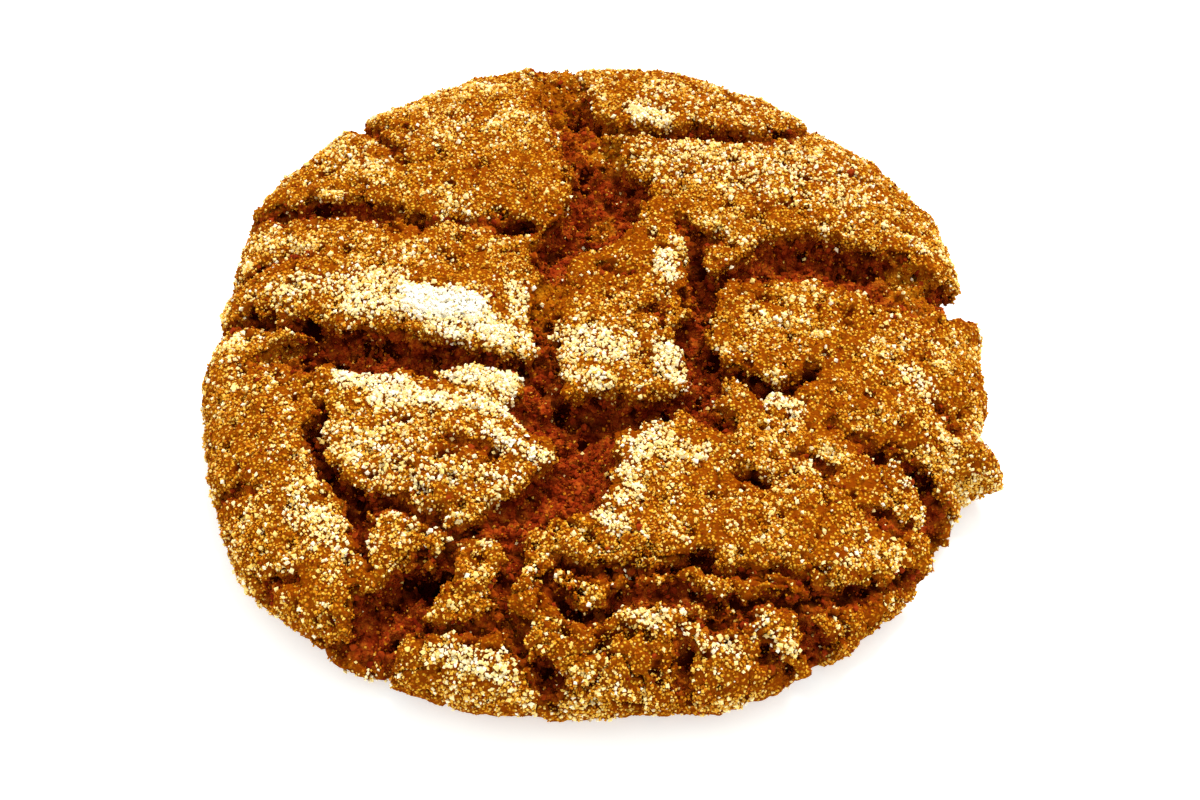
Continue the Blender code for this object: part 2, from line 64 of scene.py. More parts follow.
# Cracks in plan. Each is a stroke through points (x, y, half width, depth).
CRACKS = {
    "back gully": (
        (-4.5, 44.0, 2.2, 0.0), (-4.2, 39.5, 2.5, 0.3), (-3.4, 34.5, 2.5, 1.3), (-2.6, 29.5, 2.4, 1.5),
        (-1.4, 26.0, 2.6, 1.1), (1.0, 20.8, 3.2, 2.4), (1.2, 16.0, 3.8, 3.3), (-1.0, 12.0, 2.9, 3.4),
        (-4.0, 9.8, 2.4, 3.2), (-4.5, 6.6, 1.5, 1.8), (-4.9, 2.8, 1.0, 0.9), (-5.3, -0.8, 0.8, 0.8),
        (-5.0, -3.8, 1.0, 1.2), (-5.0, -7.5, 1.9, 2.8),
    ),
    "back slit": (
        (-3.0, 35.2, 0.6, 1.4), (-2.6, 33.0, 1.0, 2.6), (-2.0, 30.6, 1.1, 2.8), (-1.4, 28.6, 0.8, 2.0),
    ),
    "back right": (
        (-1.2, 29.5, 1.3, 2.4), (3.0, 27.3, 0.6, 1.8), (8.0, 27.2, 0.7, 2.0), (12.0, 27.3, 1.2, 2.3),
        (16.0, 27.0, 1.3, 2.2), (19.5, 27.6, 0.9, 1.6), (22.5, 30.5, 0.6, 1.3), (26.0, 34.0, 0.6, 1.3),
    ),
    "upper left": (
        (-36.8, 19.2, 0.5, 0.7), (-34.5, 18.2, 1.0, 1.6), (-31.0, 17.3, 1.5, 2.2), (-26.0, 16.9, 1.4, 2.4),
        (-21.0, 14.8, 1.0, 1.9), (-17.0, 13.2, 0.7, 1.1), (-13.5, 13.5, 0.5, 0.9), (-10.5, 13.2, 0.7, 1.3),
        (-7.0, 12.4, 1.0, 2.2),
    ),
    "left slit": (
        (-43.0, 4.2, 0.7, 1.6), (-38.0, 3.5, 0.7, 1.8), (-34.0, 2.5, 0.7, 2.0), (-30.0, 0.8, 0.8, 2.4),
        (-27.0, -0.6, 0.8, 2.6),
    ),
    "left trough": (
        (-33.5, -2.8, 1.0, 1.0), (-29.0, -2.9, 2.3, 2.4), (-25.0, -3.3, 2.6, 2.9), (-20.0, -3.9, 2.6, 3.0),
        (-16.0, -4.4, 2.2, 2.8), (-12.0, -4.8, 1.2, 2.2), (-9.0, -5.2, 1.0, 2.0), (-6.5, -6.8, 1.6, 2.8),
        (-5.0, -8.4, 1.9, 3.0),
    ),
    "middle chasm": (
        (-6.2, -11.6, 1.8, 3.0), (-2.0, -12.1, 2.6, 3.7), (3.0, -11.6, 2.2, 3.6), (7.0, -11.0, 1.5, 3.1),
        (9.8, -10.5, 1.1, 2.8),
    ),
    "front of chasm": (
        (-1.2, -14.0, 2.9, 3.4), (-0.8, -17.0, 2.8, 3.2), (-2.2, -20.2, 3.1, 3.0), (-5.2, -22.4, 2.5, 2.8),
        (-9.0, -24.3, 1.3, 2.4), (-12.5, -25.2, 0.7, 1.8),
    ),
    "right stem": (
        (8.8, 13.2, 0.5, 1.2), (10.6, 11.4, 0.8, 1.8), (10.3, 9.0, 0.6, 2.0), (10.1, 6.5, 0.9, 2.5),
        (10.9, 4.0, 1.3, 3.2), (10.4, 1.0, 1.2, 3.0), (9.6, -2.0, 1.7, 3.0), (10.8, -5.0, 1.6, 3.2),
        (10.9, -8.0, 1.6, 3.0), (10.0, -10.5, 1.4, 3.0), (12.5, -13.6, 0.9, 1.2),
    ),
    "right twig": ((10.8, 11.2, 0.7, 1.7), (13.5, 10.3, 0.5, 1.3)),
    "right trough": (
        (10.9, 4.4, 0.9, 2.6), (13.5, 6.2, 0.9, 2.4), (17.0, 7.7, 1.9, 2.5), (20.0, 8.8, 2.9, 3.0),
        (24.0, 8.4, 3.3, 3.2), (28.0, 7.3, 3.7, 2.9), (32.0, 6.4, 3.8, 2.3), (35.5, 6.4, 2.9, 2.1),
        (38.5, 7.8, 2.4, 2.0), (43.0, 9.4, 2.2, 1.9),
    ),
    "right pocket": ((27.4, 4.8, 0.8, 3.2), (29.4, 3.8, 1.0, 3.4)),
    "right branch": (
        (11.4, -5.6, 1.1, 3.0), (14.4, -6.9, 0.9, 2.6), (17.0, -8.6, 1.0, 2.6), (19.0, -8.2, 0.8, 2.2),
        (21.4, -6.2, 0.5, 1.6),
    ),
    "left elbow": (
        (-27.6, -9.6, 0.5, 1.2), (-26.4, -11.5, 0.8, 1.9), (-27.4, -14.0, 1.0, 2.4), (-26.6, -16.0, 0.8, 2.2),
        (-25.0, -18.3, 0.9, 2.5), (-23.6, -20.6, 0.9, 2.7), (-21.5, -21.3, 0.9, 2.7),
        (-19.3, -21.6, 0.8, 2.0), (-16.6, -23.4, 0.6, 1.6), (-13.4, -25.0, 0.6, 1.6),
    ),
    "left elbow twig": (
        (-23.0, -21.5, 0.9, 2.5), (-22.0, -24.0, 0.9, 2.4), (-21.8, -26.0, 0.6, 1.8),
        (-21.3, -28.2, 0.4, 1.1),
    ),
    "front left chasm": (
        (-13.6, -27.0, 0.8, 1.9), (-14.6, -29.0, 1.4, 2.8), (-17.0, -31.0, 2.5, 3.8),
        (-19.4, -33.0, 3.0, 3.5), (-21.0, -35.2, 2.6, 3.3), (-21.6, -38.0, 1.2, 2.4),
        (-21.8, -41.0, 0.8, 1.4), (-22.4, -45.0, 0.5, 0.9),
    ),
    "front left pit": ((-16.8, -29.8, 1.0, 5.4), (-15.2, -29.5, 1.1, 5.4)),
    "front left twig": ((-16.1, -27.4, 0.6, 1.5), (-16.3, -30.2, 1.0, 2.6)),
    "front left foot": ((-27.0, -33.4, 0.5, 1.2), (-25.2, -35.0, 0.8, 1.9), (-23.0, -36.0, 1.0, 2.6)),
    "front left ledge": ((-15.4, -34.8, 0.7, 1.8), (-12.0, -35.1, 0.6, 1.4), (-9.4, -34.4, 0.5, 1.0)),
    "front pit gap": (
        (-8.2, -25.4, 1.5, 2.5), (-7.4, -28.0, 1.4, 2.6), (-8.6, -31.0, 0.5, 1.5), (-8.6, -33.2, 0.5, 1.4),
        (-7.4, -35.6, 0.6, 1.7), (-6.6, -37.8, 0.4, 1.0),
    ),
    "front lip": (
        (-3.5, -28.6, 0.4, 1.9), (-1.4, -29.2, 0.45, 2.3), (2.8, -29.5, 0.5, 2.5), (5.5, -29.3, 0.5, 2.5),
        (9.4, -28.4, 0.9, 2.8), (10.9, -29.6, 0.6, 2.3), (15.3, -29.5, 0.35, 1.9), (18.1, -29.4, 0.4, 2.0),
        (20.5, -30.6, 0.4, 1.9), (23.9, -30.8, 0.6, 2.2), (25.8, -30.2, 0.5, 2.0), (28.4, -28.4, 0.5, 1.8),
        (31.5, -26.4, 0.4, 1.3),
    ),
    "front step": (
        (-4.6, -30.4, 0.5, 1.7), (-3.5, -32.4, 0.6, 2.1), (-1.5, -34.0, 0.8, 2.4), (0.6, -33.6, 0.8, 2.3),
        (3.4, -32.2, 1.1, 2.1), (6.5, -31.7, 1.0, 1.7), (10.0, -32.4, 0.9, 1.8), (14.0, -32.6, 0.7, 1.8),
        (18.0, -32.0, 0.6, 1.9), (21.5, -31.4, 0.5, 1.9),
    ),
    "front ledge": ((9.2, -34.6, 0.4, 1.2), (12.0, -34.8, 0.5, 1.5), (15.0, -33.8, 0.4, 1.3)),
    "right notch": (
        (23.5, -13.0, 0.4, 1.2), (26.0, -15.0, 0.6, 1.7), (29.0, -16.2, 0.9, 2.1), (32.0, -17.6, 1.5, 2.8),
        (33.4, -20.5, 1.6, 2.7), (34.6, -24.0, 1.7, 2.8), (36.5, -28.0, 1.5, 2.6),
    ),
    "right nick": ((34.3, -9.3, 0.5, 1.3), (35.6, -11.2, 0.5, 1.1)),
    "front right notch": (
        (19.3, -32.6, 0.5, 1.6), (20.0, -34.2, 1.0, 2.4), (21.4, -36.4, 1.6, 3.0), (22.6, -39.5, 1.8, 3.0),
        (24.2, -44.0, 1.6, 2.4),
    ),
    "front right nick": ((15.8, -37.0, 0.6, 1.4), (18.8, -37.8, 0.6, 1.6)),
    "front slot": ((8.2, -35.4, 0.4, 1.0), (8.2, -37.5, 0.7, 1.9), (8.0, -40.0, 0.5, 1.2)),
    "front hole": ((-5.0, -38.9, 0.9, 2.6), (-4.2, -40.2, 0.8, 2.4)),
    "plate hole": ((14.1, -19.7, 0.6, 2.2), (15.8, -20.1, 0.6, 2.0)),
    "left nick": (
        (-42.0, -20.5, 0.7, 1.3), (-38.0, -19.3, 0.6, 1.3), (-35.0, -18.3, 0.5, 1.1),
        (-32.5, -18.8, 0.4, 0.7),
    ),
    "left foot nick": ((-33.0, -29.4, 0.5, 0.9), (-28.4, -28.2, 0.4, 0.8)),
    "back left nick": (
        (-27.2, 35.0, 0.4, 0.6), (-25.6, 32.0, 0.6, 1.5), (-24.4, 29.4, 0.5, 1.1), (-20.8, 24.6, 0.4, 0.8),
    ),
    "left crease": (
        (-41.0, 9.6, 0.5, 0.9), (-37.0, 9.8, 0.4, 0.9), (-33.0, 10.4, 0.4, 0.8), (-29.0, 10.8, 0.3, 0.6),
    ),
    "middle crease": ((0.8, 7.0, 0.4, 0.9), (3.4, 5.9, 0.4, 1.0)),
    "middle slot": ((4.0, 0.9, 0.4, 0.8), (6.4, 1.8, 0.5, 1.3), (6.8, -0.8, 0.5, 1.3)),
    "left plate dent": ((-14.0, -15.2, 0.4, 0.7), (-11.0, -16.0, 0.5, 0.9), (-9.5, -17.0, 0.4, 0.7)),
    "right plate crease": ((19.8, -16.8, 0.4, 0.7), (22.8, -18.2, 0.5, 0.8)),
    "front plate crease": ((26.0, -22.0, 0.4, 0.7), (29.8, -23.0, 0.5, 0.9)),
}

# Plates and knobs that stand proud between the cracks, as (x, y, radius, height)
SWELLS = (
    (14.0, -22.5, 11.0, 0.9), (-14.0, -16.0, 9.0, 0.9), (3.0, -2.5, 7.0, 0.6), (22.0, 0.0, 8.0, 0.3),
    (-18.0, 25.0, 12.0, 0.5), (17.0, 19.0, 10.0, 0.5), (-22.0, 5.0, 10.0, 0.5), (9.0, 35.0, 8.0, 0.5),
    (-31.0, -14.0, 8.0, 0.4), (-11.5, -30.5, 3.0, 0.6), (-5.0, -32.5, 3.0, 0.5), (9.0, -37.0, 6.0, 0.4),
    (-12.0, 3.0, 4.0, 0.4), (33.2, 7.2, 3.2, 1.3), (2.0, 24.0, 3.0, 0.7), (-26.0, -32.0, 6.0, 0.4),
    (39.0, -13.5, 5.5, 1.3), (-25.0, -38.0, 4.0, 0.5), (-5.5, 42.0, 5.5, 1.6), (12.0, -42.0, 4.0, 0.6),
)

# Shape of a crack's walls and of the plates beside it
LIP_DROP = 0.30
LIP_REACH = 0.7
WALL_WIDTH = 0.75
# Share by which a crack is deeper at its back side and shallower at its front side
LEAN = 0.28
MIDDLE_REACH = 1.6
WANDER = ((0.55, 3.4, 11), (0.25, 1.5, 17))
ROUGHNESS = ((0.35, 9.0, 23), (0.16, 3.2, 29))
FLOOR_ROUGHNESS = (0.55, 2.2, 31)
FOOT_FADE = 1.5

STROKE_STEPS = 4

# Finer detail than the solid's: raggedness of the lips, and how far they hang over the walls
FINE_WANDER = ((0.50, 1.5, 37), (0.25, 0.7, 41))
WIDENED = 0.22
RAGGED_EDGE = ((0.90, 2.4, 47), (0.45, 1.1, 43))
LIP_OVERHANG = 0.35
WALL_UNDERCUT = 0.45
OVERHANG_NOISE = (2.6, 53)
WIDE_CRACK = 2.2
CLODS = (1.1, 2.2, 59)
LOOSE_LIP = (0.45, 1.5, 51)
SHEET_RINGS = 230
VOXEL = 0.20
BODY_TRIANGLES = 192000

# Fine relief. Lumps and chips are (height, cell, seed), fissures (depth, cell, half width, seed), and
# pits and pores (depth, radius and soft edge in cells, cell, seed)
CRUST_LUMPS = ((0.20, 2.6, 61), (0.14, 1.2, 67), (0.09, 0.6, 69))
CRUST_CHIPS = (0.26, 1.1, 75)
CRUST_FISSURES = ((0.55, 3.6, 0.06, 83), (0.32, 1.9, 0.08, 87))
CRUST_PITS = (0.60, 0.34, 0.16, 2.4, 91)
CRUMB_CHUNKS = (0.80, 1.25, 97)
CRUMB_SEAMS = (0.25, 0.10)
CRUMB_LUMPS = (0.18, 0.8, 103)
CRUMB_RIDGES = (0.30, 0.8, 105)
CRUMB_PORES = (0.65, 0.34, 0.15, 1.8, 109)
BASE_PORES = (0.35, 0.32, 0.16, 2.6, 117)
HOLE_DEPTH = 0.6

# Crumb mounds that are baked golden, as (x, y, radius, strength)
GOLDEN_MOUNDS = (
    (2.2, 25.5, 4.0, 1.0), (-4.5, 31.0, 3.2, 0.8), (-3.8, 37.0, 5.0, 0.7), (33.2, 7.6, 4.2, 0.9),
    (36.5, 5.0, 3.0, 0.8), (-5.2, 3.2, 3.6, 1.0), (-7.5, 8.0, 2.5, 0.5), (-32.5, -2.0, 3.5, 0.7),
    (0.6, 15.6, 1.8, 0.6),
)

# Holes in the cracks too deep for light to reach, dented a little and painted near black as shade: (x, y,
# radius, strength)
DARK_HOLES = (
    (-15.9, -30.3, 1.9, 1.0), (-19.5, -37.2, 1.7, 1.0), (11.4, 7.5, 1.2, 0.9), (11.8, 1.7, 1.2, 0.9),
    (11.7, -3.5, 1.3, 0.9), (14.7, -4.6, 1.0, 0.9), (-33.1, 3.4, 1.4, 0.9), (-28.3, 1.4, 1.5, 0.9),
    (-25.3, -3.6, 1.1, 0.7), (-27.1, -13.4, 1.2, 0.9), (-24.4, -17.6, 1.0, 0.8), (-22.6, -20.2, 1.1, 0.8),
    (31.6, -16.9, 1.4, 0.9), (33.2, -24.3, 1.4, 0.8), (14.9, -19.4, 1.0, 0.9), (-2.0, 31.7, 1.2, 0.8),
    (27.9, 4.6, 1.4, 0.9), (17.2, 7.9, 1.1, 0.7), (-3.4, -9.4, 1.2, 0.7), (9.6, -28.6, 1.0, 0.8),
)

# Areas where the crust is more broken up, as (x, y, radius, extra)
ROUGH_AREAS = (
    (0.0, -34.0, 12.0, 0.9), (-12.0, -30.0, 8.0, 0.7), (-14.0, -20.0, 6.0, 0.5), (20.0, -33.0, 8.0, 0.7),
    (31.0, -19.0, 6.0, 0.5), (12.0, -9.0, 5.0, 0.4), (-5.0, 3.0, 4.0, 0.6), (-31.0, -6.0, 7.0, 0.4),
)

# Sugar that lies in drifts: (x, y) to (x, y), half width, strength
DRIFTS = (
    (-18.0, 2.2, -12.8, 1.2, 1.8, 1.0), (-23.5, 2.2, -19.5, 2.0, 1.6, 0.35),
    (-32.0, 5.4, -20.0, 4.6, 1.5, 0.18), (-11.5, -0.4, -8.8, -2.4, 1.3, 0.45),
    (-15.5, -0.8, -13.0, -2.2, 0.9, 0.45), (-8.2, 3.6, -7.4, 0.0, 0.7, 0.35),
    (-24.5, -7.3, -19.0, -8.8, 1.1, 0.50), (-14.0, -7.0, -9.0, -8.3, 1.2, 0.45),
    (-20.5, -9.7, -14.0, -10.8, 1.1, 0.40), (-13.0, -10.8, -8.5, -12.0, 1.0, 0.30),
    (-8.5, -9.5, -7.3, -13.0, 0.8, 0.35), (-22.0, -14.0, -9.0, -14.5, 3.0, 0.05),
    (-10.5, -14.5, -5.0, -17.6, 1.1, 0.30), (-20.0, -18.5, -9.0, -19.5, 2.0, 0.08),
    (-5.0, -2.6, 2.0, -4.2, 2.0, 0.25), (-3.5, -7.0, 1.0, -8.3, 0.9, 0.25),
    (6.5, -4.0, 8.6, -8.0, 1.1, 0.35), (6.8, 8.4, 7.8, 5.0, 0.9, 0.40), (5.2, -14.2, 2.8, -19.0, 1.2, 0.30),
    (5.0, -16.0, 10.0, -17.0, 1.0, 0.18), (4.0, -21.5, 0.4, -23.0, 0.9, 0.25),
    (0.2, -24.0, 2.4, -25.4, 0.7, 0.22), (17.0, -10.2, 19.5, -11.4, 0.9, 0.30),
    (27.5, -15.5, 30.5, -18.0, 1.0, 0.30), (31.0, -6.0, 33.2, -8.0, 0.9, 0.2),
    (-13.0, -37.0, -8.2, -38.6, 1.1, 0.25), (-25.0, -38.5, -23.2, -39.6, 0.9, 0.35),
    (-28.0, -22.0, -22.0, -27.0, 1.4, 0.15), (-20.0, -22.3, -10.0, -26.3, 1.0, 0.22),
    (-26.0, -13.5, -24.0, -16.5, 0.8, 0.15), (4.0, 30.0, 7.4, 28.9, 0.7, 0.35),
    (3.0, -33.6, 8.4, -34.6, 0.7, 0.22), (8.0, 23.5, 25.0, 20.0, 4.5, 0.06),
    (8.0, 32.0, 20.0, 31.0, 3.0, 0.04), (14.0, -33.8, 18.0, -36.0, 1.0, 0.12),
    (9.0, -35.8, 12.5, -36.6, 0.7, 0.20),
)

# Colours of the crust and the painted shade in its pits, the torn crumb with the painted shade of its pores
# and deepest cracks, and the base
CRUST_DARK = (0.185, 0.029, 0.0010)
CRUST_MIDDLE = (0.465, 0.152, 0.0035)
CRUST_LIGHT = (0.620, 0.255, 0.0080)
CRUST_TOAST = (0.335, 0.084, 0.0016)
CRUST_HOLLOW_SHADE = (0.075, 0.006, 0.0003)
SOAKED_SUGAR = (0.760, 0.430, 0.035)
CRUMB_DARK = (0.118, 0.0070, 0.0012)
CRUMB_MIDDLE = (0.290, 0.0320, 0.0045)
CRUMB_LIGHT = (0.465, 0.1080, 0.0090)
CRUMB_DEEP_SHADE = (0.014, 0.0008, 0.0002)
CRUMB_PORE_SHADE = (0.024, 0.0008, 0.0002)
MOUND_DARK = (0.200, 0.028, 0.0006)
MOUND_MIDDLE = (0.420, 0.125, 0.0020)
MOUND_LIGHT = (0.700, 0.330, 0.0120)
TORN_DARK = (0.125, 0.0105, 0.0010)
TORN_MIDDLE = (0.270, 0.0420, 0.0030)
TORN_LIGHT = (0.465, 0.1350, 0.0070)
BASE_DARK = (0.16, 0.050, 0.006)
BASE_LIGHT = (0.34, 0.14, 0.020)

# Colours of the sugar
SUGAR_DRIFT = (0.96, 0.94, 0.84)
SUGAR_WHITE = (0.93, 0.82, 0.44)
SUGAR_CREAM = (0.84, 0.60, 0.14)
GOLD_PALE = (0.84, 0.56, 0.10)
GOLD = (0.71, 0.35, 0.015)
AMBER = (0.60, 0.23, 0.007)
AMBER_DEEP = (0.430, 0.120, 0.0030)

SEED = 4
# How far sugar may stand above the solid's highest point
CEILING_GAP = 0.3

# Studio, in degrees and watts, with the camera's aim and distance in millimetres
SKY_COLOUR = (1.0, 0.97, 0.90)
SKY_STRENGTH = 1.05
KEY_STRENGTH = 3.9
KEY_ANGLE = 26.0
KEY_COLOUR = (1.0, 0.96, 0.86)
KEY_FROM = (0.30, 0.80, 1.10)
FLOOR_COLOUR = (0.80, 0.88, 0.92)
FLOOR_GLOW = 0.46
FLOOR_HALF = 3.0
LENS = 78.0
CAMERA_ELEVATION = 51.0
CAMERA_AIM = (0.5, -5.0, 5.0)
CAMERA_DISTANCE = 260.0


def smooth(t):
    """Eases from 0 to 1 as t does."""
    t = np.clip(t, 0.0, 1.0)
    return t * t * (3.0 - 2.0 * t)


def noise(points, cell, seed):
    """Smooth gradient noise of about -1 to 1 at points (n, 3), in cells of that size."""
    rng = np.random.default_rng(seed)
    order = rng.permutation(256)
    slopes = rng.normal(size=(256, 3))
    slopes /= np.linalg.norm(slopes, axis=1)[:, None]
    corner = np.floor(points / cell).astype(int)
    inside = points / cell - corner
    weight = inside**3 * (inside * (inside * 6.0 - 15.0) + 10.0)
    total = np.zeros(len(points))
    for step in itertools.product((0, 1), repeat=3):
        at = corner + step
        pick = order[(order[(order[at[:, 0] & 255] + at[:, 1]) & 255] + at[:, 2]) & 255]
        share = np.prod(np.where(step, weight, 1.0 - weight), axis=1)
        total += share * np.einsum("ij,ij->i", slopes[pick], inside - step)
    return total * 1.6


def cells(points, cell, seed):
    """Distance, in cells, from points (n, 3) to the nearest of spots strewn one to a cell."""
    rng = np.random.default_rng(seed)
    order = rng.permutation(256)
    spots = rng.random((256, 3))
    corner = np.floor(points / cell).astype(int)
    inside = points / cell - corner
    nearest = np.full(len(points), 9.0)
    for step in itertools.product((-1, 0, 1), repeat=3):
        at = corner + step
        pick = order[(order[(order[at[:, 0] & 255] + at[:, 1]) & 255] + at[:, 2]) & 255]
        nearest = np.minimum(nearest, ((spots[pick] + step - inside) ** 2).sum(1))
    return np.sqrt(nearest)


def chunks(points, cell, seed):
    """Points (n, 3) in a pile of uneven chunks, one to a cell: a number of each chunk's own from 0 to 1,
    and how far inside its chunk each point lies, in cells."""
    rng = np.random.default_rng(seed)
    order = rng.permutation(256)
    spots = rng.random((256, 3))
    corner = np.floor(points / cell).astype(int)
    inside = points / cell - corner
    first = np.full(len(points), 9.0)
    second = np.full(len(points), 9.0)
    own = np.zeros(len(points), int)
    for step in itertools.product((-1, 0, 1), repeat=3):
        at = corner + step
        pick = order[(order[(order[at[:, 0] & 255] + at[:, 1]) & 255] + at[:, 2]) & 255]
        away = np.sqrt(((spots[pick] + step - inside) ** 2).sum(1))
        closer = away < first
        second = np.where(closer, first, np.minimum(second, away))
        own = np.where(closer, pick, own)
        first = np.where(closer, away, first)
    return own / 255.0, second - first


def warped(points, size, cell, seed):
    """Points (n, 3) moved by noise, so that what is drawn at them comes out uneven."""
    return points + size * np.column_stack([noise(points, cell, seed + k) for k in range(3)])


def outline_radius(angle):
    """Radius of the biscuit's widest line at an angle, as the smooth curve through OUTLINE."""
    waves = np.fft.rfft(OUTLINE) / len(OUTLINE)
    radius = np.full(angle.shape, waves[0].real)
    for k in range(1, len(OUTLINE) // 2):
        radius += 2.0 * (waves[k] * np.exp(1j * k * angle)).real
    for middle, width, out in np.radians(OUTLINE_KNOBS):
        away = np.angle(np.exp(1j * (angle - middle)))
        radius += np.degrees(out) * np.exp(-((away / width) ** 2))
    return radius


def meridian(share):
    """Radius (as a share of the outline's), height and outward tilt, at a share of the way to the foot."""
    middle = float(np.mean(OUTLINE))
    turn = np.linspace(0.0, 1.0, 1500)
    top_r = np.sin(turn * np.pi / 2.0)
    top_z = RIM_HEIGHT + (CROWN_HEIGHT - RIM_HEIGHT) * np.sqrt(1.0 - top_r**SHOULDER_POWER)
    under_z = RIM_HEIGHT * (1.0 - turn[1:])
    under_r = 1.0 - FOOT_INSET / middle * turn[1:] ** 2
    r = np.concatenate([top_r, under_r])
    z = np.concatenate([top_z, under_z])
    length = np.concatenate([[0.0], np.cumsum(np.hypot(np.diff(r) * middle, np.diff(z)))])
    slope = np.unwrap(np.arctan2(-np.gradient(z, length), np.gradient(r * middle, length)))
    at = share * length[-1]
    return np.interp(at, length, r), np.interp(at, length, z), np.interp(at, length, slope)


def stroke(points):
    """A crack's points with more between them, on a smooth curve."""
    p = np.array(points, float)
    ends = np.vstack([2 * p[0] - p[1], p, 2 * p[-1] - p[-2]])
    made = []
    for a, b, c, d in zip(ends, ends[1:], ends[2:], ends[3:]):
        for t in np.arange(STROKE_STEPS) / STROKE_STEPS:
            bend = (2 * a - 5 * b + 4 * c - d) * t**2 + (3 * b - a - 3 * c + d) * t**3
            made.append(b + 0.5 * ((c - a) * t + bend))
    return np.array([*made, p[-1]])


def nearest_on(at, line):
    """For each plan point: how deep it lies inside a stroke's edge, the depth there, which is more on the
    stroke's back side and less on its front side, its half width, and the way in to its middle."""
    inside = np.full(len(at), -np.inf)
    depth = np.zeros(len(at))
    half = np.zeros(len(at))
    inward = np.zeros((len(at), 2))
    for a, b in zip(line, line[1:]):
        along = b[:2] - a[:2]
        t = np.clip(((at - a[:2]) @ along) / (along @ along), 0.0, 1.0)
        away = at - a[:2] - t[:, None] * along
        distance = np.linalg.norm(away, axis=1)
        width = a[2] + t * (b[2] - a[2])
        lean = 1.0 + LEAN * np.clip(away[:, 1] / width, -1.0, 1.0)
        closer = width - distance > inside
        inside[closer] = (width - distance)[closer]
        depth[closer] = (lean * (a[3] + t * (b[3] - a[3])))[closer]
        half[closer] = width[closer]
        inward[closer] = -away[closer] / np.maximum(distance[closer], 1e-6)[:, None]
    return inside, depth, half, inward


def crack_cut(at):
    """At plan points (n, 2): how far the cracks cut in, the share of the way down a wall, how far inside
    a crack's edge each point lies, the way in, and how wide the crack is as a share of WIDE_CRACK."""
    flat = np.column_stack([at, np.zeros(len(at))])
    wandered = at.copy()
    for size, cell, seed in WANDER + FINE_WANDER:
        wandered[:, 0] += size * noise(flat, cell, seed)
        wandered[:, 1] += size * noise(flat, cell, seed + 1)
    ragged = sum(size * noise(flat, cell, seed) for size, cell, seed in RAGGED_EDGE)
    cut = np.zeros(len(at))
    share = np.zeros(len(at))
    inside = np.full(len(at), -20.0)
    inward = np.zeros((len(at), 2))
    wide = np.zeros(len(at))
    reach = 3.0
    for points in CRACKS.values():
        line = stroke(points)
        low = (line[:, :2] - line[:, 2:3]).min(0) - reach
        high = (line[:, :2] + line[:, 2:3]).max(0) + reach
        near = np.flatnonzero(((wandered > low) & (wandered < high)).all(1))
        edge, depth, half, way = nearest_on(wandered[near], line)
        edge += WIDENED + ragged[near] * smooth(0.25 + half / 1.6)
        steep = smooth(edge / WALL_WIDTH + 0.3)
        wall = depth * (0.72 * steep + 0.28 * smooth(edge / MIDDLE_REACH))
        deeper = wall > cut[near]
        cut[near[deeper]] = wall[deeper]
        share[near[deeper]] = steep[deeper]
        closer = edge > inside[near]
        inside[near[closer]] = edge[closer]
        inward[near[closer]] = way[closer]
        wide[near[closer]] = smooth(half / WIDE_CRACK)[closer]
    return cut, share, inside, inward, wide


def relief(at):
    """At plan points (n, 2): how far the surface stands off the plain dome, its push in plan over or
    under a lip, and five facts: the share of the way down a crack's wall, how far inside a crack the
    point lies, how far the way in points to the back, the crack's depth and how wide it is."""
    flat = np.column_stack([at, np.zeros(len(at))])
    cut, share, inside, inward, wide = crack_cut(at)
    height = sum(size * noise(flat, cell, seed) for size, cell, seed in ROUGHNESS)
    for x, y, radius, swell in SWELLS:
        height += swell * np.exp(-((at - (x, y)) ** 2).sum(1) / (0.6 * radius) ** 2)
    height -= LIP_DROP * np.exp(-np.maximum(-inside, 0.0) / LIP_REACH)
    size, cell, seed = FLOOR_ROUGHNESS
    height += smooth(inside) * size * noise(flat, cell, seed)
    size, cell, seed = CLODS
    own, border = chunks(warped(flat, 0.6, 1.3, seed + 1), cell, seed)
    height += smooth(inside / 0.9) * size * ((own - 0.5) * smooth(border / 0.2) - 0.2)
    size, cell, seed = LOOSE_LIP
    own, border = chunks(warped(flat, 0.4, 1.0, seed + 1), cell, seed)
    height -= size * own * np.exp(-np.maximum(-inside, 0.0) / 1.1) * smooth(border / 0.15)
    cell, seed = OVERHANG_NOISE
    ragged = np.clip(0.7 + 0.8 * noise(flat, cell, seed), 0.0, 1.5)
    over = LIP_OVERHANG * smooth((inside + 1.0) / 0.8) * (1.0 - share)
    under = WALL_UNDERCUT * share * (1.0 - smooth((inside - 0.6) / 1.2))
    push = inward * (wide * ragged * (over - under))[:, None]
    return height - cut, push, np.column_stack([share, inside, inward[:, 1], cut, wide])


def concentric(square):
    """Square coordinates in -1 to 1 laid on the unit disc in rings: (share of the radius, angle)."""
    x, y = square[:, 0], square[:, 1]
    wide = np.abs(x) > np.abs(y)
    radius = np.where(wide, x, y)
    with np.errstate(divide="ignore", invalid="ignore"):
        angle = np.where(wide, np.pi / 4 * y / x, np.pi / 2 - np.pi / 4 * x / y)
    angle = np.where(radius == 0.0, 0.0, angle)
    return np.abs(radius), np.where(radius < 0, angle + np.pi, angle)


